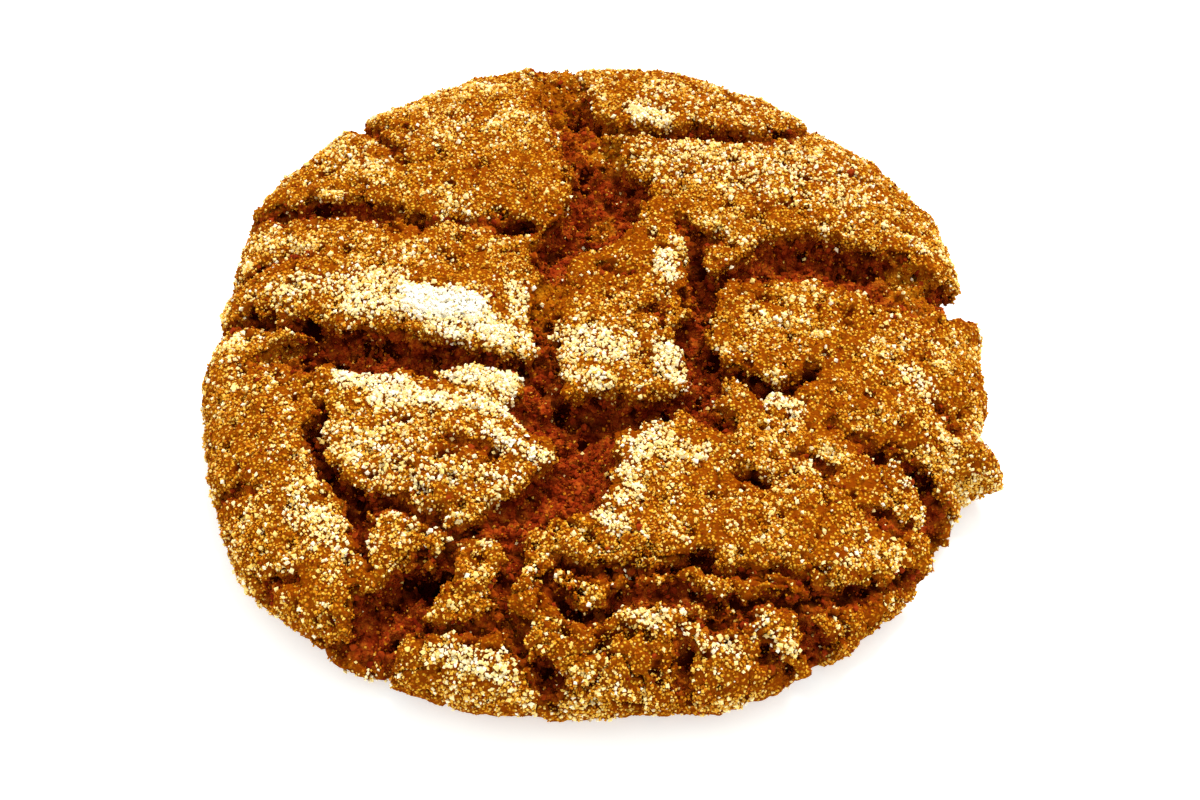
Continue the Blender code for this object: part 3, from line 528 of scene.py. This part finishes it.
def sheet_points(square):
    """Where the points of a square sheet go on the biscuit's top and side, and the facts of each: its
    place in the plan of the tables, then what relief tells."""
    share, angle = concentric(square)
    r_share, z, tilt = meridian(share)
    widest = outline_radius(angle)
    outward = np.column_stack([np.cos(angle), np.sin(angle)])
    sideways = np.column_stack([-np.sin(angle), np.cos(angle)])
    plan = outward * (r_share * widest)[:, None]
    below = np.maximum(RIM_HEIGHT - z, 0.0) * (tilt > np.pi / 2)
    unrolled = plan + outward * 2.0 * below[:, None]
    stand_off, push, crack_facts = relief(unrolled)
    fade = smooth(z / FOOT_FADE)
    stand_off = stand_off * fade
    along = (push * outward).sum(1) * fade
    across = (push * sideways).sum(1) * fade
    out = np.sin(tilt) * stand_off + np.cos(tilt) * along
    up = np.cos(tilt) * stand_off - np.sin(tilt) * along
    spread = plan + outward * out[:, None] + sideways * across[:, None]
    return np.column_stack([spread, z + up]), np.column_stack([unrolled, crack_facts])


def mesh_points(mesh, kind="co"):
    """A mesh's vertex places in millimetres, or its vertex normals."""
    values = np.empty(len(mesh.vertices) * 3, np.float32)
    if kind == "co":
        mesh.vertices.foreach_get("co", values)
        return values.reshape(-1, 3).astype(float) / MM
    mesh.vertex_normals.foreach_get("vector", values)
    return values.reshape(-1, 3).astype(float)


def set_points(mesh, points):
    """Moves a mesh's vertices to places in millimetres."""
    mesh.vertices.foreach_set("co", (points * MM).astype(np.float32).ravel())
    mesh.update()


def set_field(mesh, name, values):
    """Keeps one number for each vertex, for the material to read."""
    field = mesh.attributes.get(name) or mesh.attributes.new(name, "FLOAT", "POINT")
    field.data.foreach_set("value", values.astype(np.float32))


def with_modifier(mesh, kind, **settings):
    """The mesh that one modifier makes of a mesh."""
    carrier = bpy.data.objects.new("carrier", mesh)
    bpy.context.scene.collection.objects.link(carrier)
    modifier = carrier.modifiers.new("only", kind)
    for name, value in settings.items():
        setattr(modifier, name, value)
    seen = bpy.context.evaluated_depsgraph_get()
    made = bpy.data.meshes.new_from_object(carrier.evaluated_get(seen))
    bpy.data.objects.remove(carrier)
    return made


def torn_sheet():
    """The top and side as a sheet with overhanging lips, closed by a flat base and centred on the frame."""
    axis = np.arange(-SHEET_RINGS, SHEET_RINGS + 1) / SHEET_RINGS
    x, y = np.meshgrid(axis, axis)
    points, facts = sheet_points(np.column_stack([x.ravel(), y.ravel()]))
    side = len(axis)
    first = (np.arange(side - 1)[:, None] * side + np.arange(side - 1)).ravel()
    faces = np.column_stack([first, first + 1, first + side + 1, first + side])
    low, high = (np.array(corner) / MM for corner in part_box(NODE))
    shift = (low + high) / 2.0 - (points.min(0) + points.max(0)) / 2.0
    shift[2] = 0.0
    points += shift
    mesh = bpy.data.meshes.new("sheet")
    mesh.from_pydata((points * MM).tolist(), [], faces.tolist())
    bm = bmesh.new()
    bm.from_mesh(mesh)
    foot = [edge for edge in bm.edges if edge.is_boundary]
    for vertex in {vertex for edge in foot for vertex in edge.verts}:
        vertex.co.z = 0.0
    bmesh.ops.contextual_create(bm, geom=foot)
    bmesh.ops.recalc_face_normals(bm, faces=bm.faces)
    bm.to_mesh(mesh)
    bm.free()
    return mesh, shift, points, facts


def nearest_facts(points, known_points, facts):
    """For each point, the facts of the nearest known point."""
    tree = KDTree(len(known_points))
    for index, point in enumerate(known_points):
        tree.insert(point, index)
    tree.balance()
    return facts[[tree.find(point)[1] for point in points]]


def sunk_dots(points, dots):
    """Round pits or pores (depth, radius, soft edge, cell, seed), one to a cell: the depth at points."""
    depth, radius, soft_edge, cell, seed = dots
    return depth * smooth((radius - cells(points, cell, seed)) / soft_edge)


def crust_relief(points):
    """Fine relief of the crust: lumps of sugared dough, fissures and small pits."""
    height = sum(size * noise(points, cell, seed) for size, cell, seed in CRUST_LUMPS)
    uneven = warped(points, 0.5, 1.4, 71)
    size, cell, seed = CRUST_CHIPS
    own, border = chunks(uneven, cell, seed)
    height += size * (own - 0.5) * smooth(border / 0.2)
    patchy = smooth(0.5 + noise(points, 7.0, 79))
    for (depth, cell, width, seed), where in zip(CRUST_FISSURES, (patchy, 1.0 - patchy)):
        height -= depth * np.exp(-((noise(uneven, cell, seed) / width) ** 2)) * where
    return height - sunk_dots(uneven, CRUST_PITS)


def crumb_relief(points, steep):
    """Relief of torn crumb: chunks, ridges and pores, drawn out up and down where the wall is steep."""
    uneven = warped(points, 0.45, 1.0, 95)
    size, cell, seed = CRUMB_CHUNKS
    own, border = chunks(uneven * (1.0, 1.0, 0.6), cell, seed)
    depth, width = CRUMB_SEAMS
    height = size * (own - 0.5) * smooth(border / 0.25) - depth * np.exp(-((border / width) ** 2))
    size, cell, seed = CRUMB_LUMPS
    lumps = size * noise(points, cell, seed)
    size, cell, seed = CRUMB_RIDGES
    height += lumps + size * steep * noise(uneven * (1.0, 1.0, 0.35), cell, seed)
    return height - sunk_dots(uneven, CRUMB_PORES)


def base_relief(points):
    """Pores of the baked base, all of them upwards."""
    return sunk_dots(warped(points, 0.5, 1.4, 113), BASE_PORES)


def near_spots(plan, spots, ragged):
    """How strongly plan points lie in round spots (x, y, radius, strength) with uneven edges."""
    strength = np.zeros(len(plan))
    for x, y, radius, most in spots:
        away = np.linalg.norm(plan - (x, y), axis=1) + ragged
        strength = np.maximum(strength, most * smooth((radius - away) / (0.5 * radius)))
    return strength


def biscuit_mesh():
    """The whole biscuit's mesh with its fine relief, and the plan shift from the tables to the frame."""
    sheet, shift, known_points, known_facts = torn_sheet()
    mesh = with_modifier(sheet, "REMESH", mode="VOXEL", voxel_size=VOXEL * MM)
    points = mesh_points(mesh)
    normals = mesh_points(mesh, "normal")
    facts = nearest_facts(points, known_points, known_facts)
    plan = facts[:, :2]
    wall, inside, way_back, cut, wide = facts[:, 2:].T
    ragged = 0.8 * noise(points, 1.5, 125)
    crumb = smooth((wall - 0.15 + 0.25 * noise(points, 1.3, 119)) / 0.4)
    under = smooth((0.6 - points[:, 2]) / 0.3) * smooth((-0.5 - normals[:, 2]) / 0.3)
    golden = near_spots(plan, GOLDEN_MOUNDS, ragged)
    holes = near_spots(plan, DARK_HOLES, 0.5 * ragged) * smooth((inside + 0.2) / 0.4)
    crumb = crumb * (1.0 - under) * (1.0 - 0.45 * golden)
    steep = 1.0 - np.abs(normals[:, 2])
    rough = 1.0 + near_spots(plan, ROUGH_AREAS, ragged)
    fine = (1.0 - crumb) * rough * crust_relief(points) + crumb * crumb_relief(points, steep)
    fine -= HOLE_DEPTH * holes
    fine *= smooth(points[:, 2] / 1.2)
    moved = points + normals * fine[:, None]
    moved[:, 2] = np.maximum(moved[:, 2], 0.0)
    flat = points[:, 2] < 0.12
    moved[flat, 2] = base_relief(points[flat]) * under[flat]
    set_points(mesh, moved)
    flat_plan = np.column_stack([plan, np.zeros(len(plan))])
    lip = np.exp(-np.maximum(-inside, 0.0) / 1.3)
    patch = smooth((noise(flat_plan, 6.0, 121) + 0.35 * way_back) / 0.35)
    broad = smooth((noise(flat_plan, 10.0, 123) - 0.05) / 0.4)
    deep = smooth((cut - 0.7 + 0.6 * noise(points, 1.8, 127)) / 1.5)
    # Painted shade: where the cracks cut deepest, in narrow slots and in the dark holes, the crumb is painted
    # near black
    deep_shade = smooth((cut - 3.3 + 0.5 * noise(points, 1.5, 129)) / 1.3)
    slot = smooth((wall - 0.6) / 0.4) * smooth((cut - 0.9) / 1.0) * (1.0 - smooth((wide - 0.15) / 0.5))
    deep_shade = np.maximum.reduce([deep_shade, 0.85 * slot, holes])
    set_field(mesh, "crumb", crumb)
    set_field(mesh, "deep", deep)
    set_field(mesh, "deep_shade", deep_shade)
    set_field(mesh, "golden", golden)
    # How far the fine relief sinks (on the base, minus its height), which the material paints darker as shade
    # in hollows and pores
    set_field(mesh, "hollow", np.where(under > 0.5, -moved[:, 2], fine))
    set_field(mesh, "under", under)
    set_field(mesh, "inside", inside)
    set_field(mesh, "drift", drift_strength(plan) * (1.0 - 0.7 * crumb))
    set_field(mesh, "toast", np.clip(1.1 * lip * patch + 0.35 * broad + 0.25 * golden, 0.0, 1.0))
    mesh.calc_loop_triangles()
    made = with_modifier(mesh, "DECIMATE", ratio=BODY_TRIANGLES / len(mesh.loop_triangles))
    made.name = "gingersnap_biscuit"
    return made, shift


def crystal_shapes(rng, count, kind):
    """Small uneven crystals or crumbs of unit size: vertices (count, v, 3) and the faces that they share."""
    bm = bmesh.new()
    if kind == "chip":
        bmesh.ops.create_uvsphere(bm, u_segments=4, v_segments=2, radius=0.56)
    else:
        bmesh.ops.create_icosphere(bm, subdivisions=1, radius=0.5)
    bmesh.ops.triangulate(bm, faces=bm.faces)
    ball = np.array([vertex.co for vertex in bm.verts])
    faces = np.array([[vertex.index for vertex in face.verts] for face in bm.faces])
    bm.free()
    stretch = rng.uniform(0.70, 1.25, (count, 1, 3))
    return ball * stretch + rng.uniform(-0.13, 0.13, (count, *ball.shape)), faces


def turned(rng, count):
    """Random rotation matrices (count, 3, 3)."""
    q = rng.normal(size=(count, 4))
    w, x, y, z = (q / np.linalg.norm(q, axis=1)[:, None]).T
    rows = [
        [1 - 2 * (y * y + z * z), 2 * (x * y - z * w), 2 * (x * z + y * w)],
        [2 * (x * y + z * w), 1 - 2 * (x * x + z * z), 2 * (y * z - x * w)],
        [2 * (x * z - y * w), 2 * (y * z + x * w), 1 - 2 * (x * x + y * y)],
    ]
    return np.array(rows).transpose(2, 0, 1)


class Ground:
    """The biscuit's surface as triangles, for strewing things on."""

    def __init__(self, mesh):
        mesh.calc_loop_triangles()
        corners = np.empty(len(mesh.loop_triangles) * 3, np.int32)
        mesh.loop_triangles.foreach_get("vertices", corners)
        self.corners = corners.reshape(-1, 3)
        self.points = mesh_points(mesh)
        self.normals = mesh_points(mesh, "normal")
        a, b, c = (self.points[self.corners[:, i]] for i in range(3))
        self.area = np.linalg.norm(np.cross(b - a, c - a), axis=1) / 2.0
        self.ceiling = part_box(NODE)[1][2] / MM + CEILING_GAP
        self.fields = {}
        for name in ("crumb", "deep", "under", "inside", "toast", "drift", "golden", "deep_shade"):
            values = np.empty(len(mesh.vertices), np.float32)
            mesh.attributes[name].data.foreach_get("value", values)
            self.fields[name] = values

    def middle(self, name):
        """A field's value at the middle of each triangle."""
        return self.fields[name][self.corners].mean(1)

    def draw(self, rng, count, density):
        """Random places, crowded by a relative density for each triangle: points, normals, triangles."""
        expected = self.area * density
        picked = rng.choice(len(expected), count, p=expected / expected.sum())
        shares = rng.dirichlet((1.0, 1.0, 1.0), count)
        at = np.einsum("nk,nkj->nj", shares, self.points[self.corners[picked]])
        normal = np.einsum("nk,nkj->nj", shares, self.normals[self.corners[picked]])
        return at, normal / np.linalg.norm(normal, axis=1)[:, None], picked


def strewn(name, rng, ground, kind, count, density, sizes, sink, lift, pale):
    """One piece of many crystals or crumbs strewn on the ground. Sizes are smallest and largest, sink is
    the share of its size that each stands into the ground, lift is how far some lie above it, and pale
    is how far their tones are raised."""
    at, normal, picked = ground.draw(rng, count, density)
    shapes, faces = crystal_shapes(rng, 24, kind)
    size = sizes[0] + (sizes[1] - sizes[0]) * rng.beta(1.4, 3.0, count)
    raised = np.broadcast_to(pale, ground.area.shape)[picked]
    tone = raised + (1.0 - raised) * 0.75 * rng.random(count)
    stand = size * (0.5 - rng.uniform(sink[0], sink[1], count))
    stand += np.broadcast_to(lift, ground.area.shape)[picked] * rng.random(count)
    local = shapes[rng.integers(0, len(shapes), count)] * size[:, None, None]
    placed = np.einsum("nij,nvj->nvi", turned(rng, count), local)
    # How far down each grain a vertex lies, where the material soaks it and paints the shade of its underside
    root = 0.5 - np.einsum("nvj,nj->nv", placed, normal) / size[:, None]
    placed += (at + normal * stand[:, None])[:, None, :]
    low_enough = placed[:, :, 2].max(1) < ground.ceiling
    placed = placed[low_enough]
    placed[:, :, 2] = np.maximum(placed[:, :, 2], 0.0)
    count = len(placed)
    vertices = placed.reshape(-1, 3)
    per_shape = shapes.shape[1]
    triangles = (faces[None] + per_shape * np.arange(count)[:, None, None]).reshape(-1, 3)
    mesh = bpy.data.meshes.new(name)
    mesh.vertices.add(len(vertices))
    mesh.loops.add(triangles.size)
    mesh.polygons.add(len(triangles))
    mesh.loops.foreach_set("vertex_index", triangles.astype(np.int32).ravel())
    mesh.polygons.foreach_set("loop_start", np.arange(0, triangles.size, 3, dtype=np.int32))
    set_points(mesh, vertices)
    mesh.update(calc_edges=True)
    mesh.shade_flat()
    set_field(mesh, "tone", np.repeat(tone[low_enough], per_shape))
    set_field(mesh, "root", root[low_enough].ravel())
    return show(mesh, name)


def show(mesh, name):
    """A piece of the biscuit, which rides on its one body."""
    piece = bpy.data.objects.new(name, mesh)
    bpy.context.scene.collection.objects.link(piece)
    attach(piece, "root")
    return piece


def drift_strength(plan):
    """How thickly sugar has drifted at plan points (n, 2), from 0 to 1."""
    flat = np.column_stack([plan, np.zeros(len(plan))])
    ragged = plan + 0.7 * np.column_stack([noise(flat, 1.8, 127), noise(flat, 1.8, 131)])
    thick = np.zeros(len(plan))
    for x0, y0, x1, y1, half, strength in DRIFTS:
        start = np.array((x0, y0))
        along = np.array((x1, y1)) - start
        t = np.clip(((ragged - start) @ along) / (along @ along), 0.0, 1.0)
        away = np.linalg.norm(ragged - start - t[:, None] * along, axis=1)
        thick = np.maximum(thick, strength * (1.0 - smooth((away - 0.5 * half) / half)))
    return thick


class Shader:
    """Short calls for building one material's nodes."""

    def __init__(self, name):
        self.material = bpy.data.materials.new(name)
        self.material.use_nodes = True
        self.nodes = self.material.node_tree.nodes
        self.links = self.material.node_tree.links
        self.surface = self.nodes["Principled BSDF"]
        place = self.nodes.new("ShaderNodeTexCoord")
        grow = self.nodes.new("ShaderNodeVectorMath")
        grow.operation = "SCALE"
        grow.inputs["Scale"].default_value = 1.0 / MM
        self.links.new(place.outputs["Object"], grow.inputs[0])
        self.place = grow.outputs[0]

    def put(self, value, socket):
        """Sets a socket to a value, or links it."""
        if isinstance(value, bpy.types.NodeSocket):
            self.links.new(value, socket)
        elif isinstance(value, tuple) and len(value) == 3 and socket.type == "RGBA":
            socket.default_value = (*value, 1.0)
        else:
            socket.default_value = value

    def field(self, name):
        node = self.nodes.new("ShaderNodeAttribute")
        node.attribute_name = name
        return node.outputs["Fac"]

    def noise(self, cell, detail=2.0, roughness=0.5, place=None):
        """Noise from 0 to 1 in cells of that many millimetres."""
        node = self.nodes.new("ShaderNodeTexNoise")
        self.put(place or self.place, node.inputs["Vector"])
        node.inputs["Scale"].default_value = 1.0 / cell
        node.inputs["Detail"].default_value = detail
        node.inputs["Roughness"].default_value = roughness
        return node.outputs["Fac"]

    def cells(self, cell):
        """Cells of that many millimetres: distance to each one's middle, and its own random colour."""
        node = self.nodes.new("ShaderNodeTexVoronoi")
        self.put(self.place, node.inputs["Vector"])
        node.inputs["Scale"].default_value = 1.0 / cell
        return node.outputs["Distance"], node.outputs["Color"]

    def ramp(self, value, *stops):
        """A colour for each value, from (place, colour) stops."""
        node = self.nodes.new("ShaderNodeValToRGB")
        elements = node.color_ramp.elements
        while len(elements) < len(stops):
            elements.new(0.5)
        for element, (place, colour) in zip(elements, stops):
            element.position = place
            element.color = (*colour, 1.0) if len(colour) == 3 else colour
        self.put(value, node.inputs["Fac"])
        return node.outputs["Color"]

    def range(self, value, low, high, to_low=0.0, to_high=1.0):
        node = self.nodes.new("ShaderNodeMapRange")
        node.interpolation_type = "SMOOTHSTEP"
        self.put(value, node.inputs["Value"])
        self.put(low, node.inputs["From Min"])
        self.put(high, node.inputs["From Max"])
        self.put(to_low, node.inputs["To Min"])
        self.put(to_high, node.inputs["To Max"])
        return node.outputs["Result"]

    def mix(self, share, first, second, blend="MIX"):
        node = self.nodes.new("ShaderNodeMix")
        node.data_type = "RGBA"
        node.blend_type = blend
        self.put(share, node.inputs["Factor"])
        self.put(first, node.inputs["A"])
        self.put(second, node.inputs["B"])
        return node.outputs["Result"]

    def math(self, operation, first, second):
        node = self.nodes.new("ShaderNodeMath")
        node.operation = operation
        self.put(first, node.inputs[0])
        self.put(second, node.inputs[1])
        return node.outputs[0]

    def bump(self, height, depth, strength=1.0):
        """Bump of that many millimetres."""
        node = self.nodes.new("ShaderNodeBump")
        self.put(height, node.inputs["Height"])
        node.inputs["Distance"].default_value = depth * MM
        node.inputs["Strength"].default_value = strength
        self.links.new(node.outputs["Normal"], self.surface.inputs["Normal"])

    def finish(self, colour, roughness, **uniform):
        self.put(colour, self.surface.inputs["Base Color"])
        self.put(roughness, self.surface.inputs["Roughness"])
        for name, value in uniform.items():
            self.surface.inputs[name.replace("_", " ")].default_value = value
        return self.material


def biscuit_material():
    """Golden sugared crust, dark torn crumb and browned base in one material, with painted shade in the
    hollows, pores and deepest cracks.
    """
    s = Shader(SLOT)
    crumb = s.field("crumb")
    hollow = s.field("hollow")
    broad = s.noise(6.0, 3.0)
    middling = s.noise(1.3, 3.0, 0.6)
    fine = s.noise(0.30, 2.0, 0.6)
    away, own = s.cells(0.36)
    mottle = s.math("ADD", s.math("MULTIPLY", broad, 0.35), s.math("MULTIPLY", middling, 0.65))
    crust = s.ramp(mottle, (0.34, CRUST_DARK), (0.50, CRUST_MIDDLE), (0.66, CRUST_LIGHT))
    crust = s.mix(s.math("MULTIPLY", s.field("toast"), 0.7), crust, CRUST_TOAST)
    crust = s.mix(s.range(own, 0.44, 0.32, 0.0, 0.55), crust, CRUST_DARK)
    crust = s.mix(s.range(away, 0.26, 0.56, 0.0, 0.85), crust, CRUST_DARK)
    soaked = s.math("MULTIPLY", s.range(own, 0.48, 0.66), s.range(away, 0.50, 0.20))
    soaked = s.math("MULTIPLY", soaked, s.range(s.field("toast"), 0.2, 0.9, 1.0, 0.15))
    crust = s.mix(soaked, crust, SOAKED_SUGAR)
    # Painted shade: the crust's sunken fissures and pits are painted darker by how deep they lie
    crust = s.mix(s.range(hollow, -0.12, -0.55, 0.0, 0.9), crust, CRUST_HOLLOW_SHADE)
    drifted = s.mix(s.range(own, 0.3, 0.6), SUGAR_CREAM, SUGAR_DRIFT)
    crust = s.mix(s.range(s.field("drift"), 0.55, 0.9), crust, drifted)
    grain = s.math("ADD", s.math("MULTIPLY", middling, 0.55), s.math("MULTIPLY", fine, 0.45))
    inner = s.ramp(grain, (0.36, CRUMB_DARK), (0.50, CRUMB_MIDDLE), (0.66, CRUMB_LIGHT))
    torn = s.ramp(grain, (0.36, TORN_DARK), (0.50, TORN_MIDDLE), (0.66, TORN_LIGHT))
    inner = s.mix(s.field("deep"), torn, inner)
    mound = s.ramp(grain, (0.36, MOUND_DARK), (0.50, MOUND_MIDDLE), (0.66, MOUND_LIGHT))
    inner = s.mix(s.math("MULTIPLY", s.field("golden"), 0.85), inner, mound)
    # Painted shade: near black in the deepest cracks, narrow slots and dark holes
    inner = s.mix(s.field("deep_shade"), inner, CRUMB_DEEP_SHADE)
    # Painted shade: the crumb's sunken pores are painted near black by how deep they lie
    inner = s.mix(s.range(hollow, 0.0, -0.45, 0.0, 0.9), inner, CRUMB_PORE_SHADE)
    baked = s.ramp(s.math("ADD", s.math("MULTIPLY", broad, 0.5), s.math("MULTIPLY", fine, 0.5)),
                   (0.35, BASE_DARK), (0.65, BASE_LIGHT))
    colour = s.mix(crumb, crust, inner)
    colour = s.mix(s.field("under"), colour, baked)
    rough = s.range(middling, 0.3, 0.7, 0.6, 0.9)
    domes = s.range(away, 0.65, 0.0)
    s.bump(s.math("ADD", s.math("MULTIPLY", domes, 0.6), s.math("MULTIPLY", fine, 0.6)), 0.20, 1.0)
    return s.finish(colour, rough, Metallic=0.0, Specular_IOR_Level=0.0)


def grain_material(name, roughness, shade, *stops, **uniform):
    """A material whose grains each take their own tone from the stops. All but the palest are clouded with
    a darker shade, and soaked with it at the root, which is partly syrup at the base and partly painted
    shade for a translucent grain's warm underside."""
    s = Shader(name)
    tone = s.field("tone")
    cloudy = s.noise(0.12, 2.0, 0.6)
    dimmed = s.range(tone, 0.78, 0.98, 1.0, 0.1)
    clouds = s.math("MULTIPLY", s.range(cloudy, 0.45, 0.75, 0.0, 0.4), dimmed)
    colour = s.mix(clouds, s.ramp(tone, *stops), shade)
    # Painted shade: the soaking at the root is partly syrup at the grain's base and partly stands in for its
    # warm shaded underside
    soaked = s.math("MULTIPLY", s.range(s.field("root"), 0.45, 0.85, 0.0, 0.9), dimmed)
    colour = s.mix(soaked, colour, shade)
    rough = s.range(cloudy, 0.3, 0.7, roughness - 0.08, roughness + 0.12)
    s.bump(cloudy, 0.03, 0.6)
    return s.finish(colour, rough, Metallic=0.0, **uniform)


def densities(ground):
    """How crowded each kind of grain lies on each triangle, and how thickly sugar has drifted there."""
    middles = ground.points[ground.corners].mean(1)
    inside = ground.middle("inside")
    facing = ground.normals[ground.corners].mean(1)[:, 2]
    bare = ground.middle("crumb")
    drift = ground.middle("drift")
    clumps = smooth(0.35 + 1.1 * noise(middles, 2.2, 137)) * smooth(0.5 + 1.1 * noise(middles, 8.0, 139))
    strings = smooth(1.0 - np.abs(noise(middles, 2.8, 141)) / 0.16)
    near_lip = np.exp(-np.maximum(-inside, 0.0) / 1.3) * (inside < 0.25)
    patchy = smooth(0.52 + 1.3 * noise(middles * (0.7, 1.2, 1.0), 3.2, 151))
    heaped = 0.15 + 1.2 * clumps + 1.3 * strings * clumps + 0.7 * near_lip * clumps
    # Grains keep off the base and the pits, and slide off the walls of cracks
    open_top = smooth((facing + 0.5) / 0.5) * (1.0 - ground.middle("under")) * (1.0 - ground.middle("deep_shade"))
    crusted = (1.0 - bare) * open_top * (1.0 - 0.8 * ground.middle("toast"))
    fallen = smooth((inside + 0.8) / 0.8) * smooth((0.85 - facing) / 0.35)
    clean = 1.0 - 0.9 * smooth(drift / 0.7)
    white = crusted * (heaped * (0.35 + 1.3 * patchy) + 18.0 * drift) * (1.0 - 0.85 * fallen)
    white += 0.008 * bare * open_top
    gold = crusted * ((0.7 + 2.0 * clumps) * (0.3 + 1.4 * patchy) + 1.5 * drift) * (1.0 - 0.6 * fallen)
    gold += 0.03 * bare * open_top
    amber = (crusted + 0.3 * open_top * (1.0 - bare)) * (0.4 + 1.2 * patchy) * clean
    amber *= 1.0 + 2.0 * smooth(0.5 + noise(middles, 1.3, 149))
    soaked = (0.9 * bare + 0.25 * (1.0 - bare)) * open_top * clean
    crumbs = (0.01 + 0.60 * bare * (1.0 - 0.8 * ground.middle("golden"))) * open_top
    return white, gold, amber, soaked, crumbs, drift


def grain_materials():
    """The look of each kind of grain, by the name of its piece."""
    return {
        "sugar_white": grain_material(
            "white_sugar", 0.45, GOLD,
            (0.0, SUGAR_CREAM), (0.55, SUGAR_WHITE), (0.8, SUGAR_DRIFT), Specular_IOR_Level=0.1),
        "sugar_gold": grain_material(
            "gold_sugar", 0.5, AMBER_DEEP,
            (0.0, GOLD), (0.6, GOLD_PALE), (1.0, SUGAR_WHITE), Specular_IOR_Level=0.06),
        "sugar_amber": grain_material(
            "amber_sugar", 0.5, AMBER_DEEP,
            (0.0, AMBER_DEEP), (0.5, AMBER), (1.0, GOLD), Specular_IOR_Level=0.04),
        "sugar_soaked": grain_material(
            "soaked_sugar", 0.7, CRUMB_DARK,
            (0.0, CRUMB_DARK), (0.35, TORN_MIDDLE), (0.65, TORN_LIGHT), (0.75, AMBER),
            Specular_IOR_Level=0.02),
        "crumbs": grain_material(
            "ginger_crumb", 0.8, CRUMB_DARK,
            (0.0, CRUMB_DARK), (0.4, CRUMB_MIDDLE), (1.0, TORN_MIDDLE), Specular_IOR_Level=0.02),
    }


def strew_sugar_and_crumbs(ground):
    """The four kinds of sugar and the crumbs. Each has its shape, count, density, sizes, sink, lift and
    paleness."""
    white, gold, amber, soaked, crumbs, drift = densities(ground)
    pieces = {
        "sugar_white": ("chip", 17000, white, (0.20, 0.66), (0.10, 0.40), 0.5 * drift, 0.9 * drift),
        "sugar_gold": ("chip", 24000, gold, (0.16, 0.42), (0.05, 0.40), 0.6 * drift, 0.7 * drift),
        "sugar_amber": ("chip", 24000, amber, (0.17, 0.44), (0.20, 0.50), 0.0, 0.0),
        "sugar_soaked": ("chip", 19000, soaked, (0.15, 0.45), (0.20, 0.50), 0.0, 0.0),
        "crumbs": ("crumb", 2500, crumbs, (0.2, 1.0), (0.35, 0.65), 0.0, 0.0),
    }
    looks = grain_materials()
    rng = np.random.default_rng(SEED)
    for name, settings in pieces.items():
        piece = strewn(name, rng, ground, *settings)
        piece.data.materials.append(looks[name])


def white_floor():
    """A pale floor that glows a little, as a light table does."""
    mesh = bpy.data.meshes.new("floor")
    bm = bmesh.new()
    bmesh.ops.create_grid(bm, x_segments=1, y_segments=1, size=FLOOR_HALF)
    bm.to_mesh(mesh)
    bm.free()
    floor = bpy.data.objects.new("floor", mesh)
    bpy.context.scene.collection.objects.link(floor)
    s = Shader("white_paper")
    s.surface.inputs["Emission Color"].default_value = (1.0, 1.0, 1.0, 1.0)
    mesh.materials.append(s.finish(FLOOR_COLOUR, 0.9, Emission_Strength=FLOOR_GLOW))


def light_and_camera(shift):
    scene = bpy.context.scene
    world = bpy.data.worlds.new("studio")
    world.use_nodes = True
    background = world.node_tree.nodes["Background"]
    background.inputs["Color"].default_value = (*SKY_COLOUR, 1.0)
    background.inputs["Strength"].default_value = SKY_STRENGTH
    scene.world = world
    key = bpy.data.lights.new("key", "SUN")
    key.energy = KEY_STRENGTH
    key.angle = math.radians(KEY_ANGLE)
    key.color = KEY_COLOUR
    lamp = bpy.data.objects.new("key", key)
    lamp.rotation_euler = Vector(KEY_FROM).to_track_quat("Z", "Y").to_euler()
    scene.collection.objects.link(lamp)
    lens = bpy.data.cameras.new("camera")
    lens.sensor_width = 36.0
    lens.lens = LENS
    lens.clip_start = 0.01
    camera = bpy.data.objects.new("camera", lens)
    slope = math.radians(CAMERA_ELEVATION)
    back = Vector((0.0, -math.cos(slope), math.sin(slope)))
    aim = Vector(CAMERA_AIM) + Vector(shift)
    camera.location = (aim + back * CAMERA_DISTANCE) * MM
    camera.rotation_euler = back.to_track_quat("Z", "Y").to_euler()
    scene.collection.objects.link(camera)
    scene.camera = camera
    scene.view_settings.view_transform = "Standard"


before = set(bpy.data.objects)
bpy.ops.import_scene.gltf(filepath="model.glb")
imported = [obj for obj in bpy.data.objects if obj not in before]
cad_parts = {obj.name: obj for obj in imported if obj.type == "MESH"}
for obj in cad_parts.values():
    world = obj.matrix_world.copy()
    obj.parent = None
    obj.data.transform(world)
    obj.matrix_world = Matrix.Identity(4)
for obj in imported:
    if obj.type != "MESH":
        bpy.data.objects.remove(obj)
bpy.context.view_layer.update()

mesh, shift = biscuit_mesh()
biscuit = show(mesh, "gingersnap_biscuit")
biscuit.data.materials.append(biscuit_material())
biscuit.data.shade_smooth()
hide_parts(NODE)

strew_sugar_and_crumbs(Ground(mesh))

white_floor()
light_and_camera(shift)
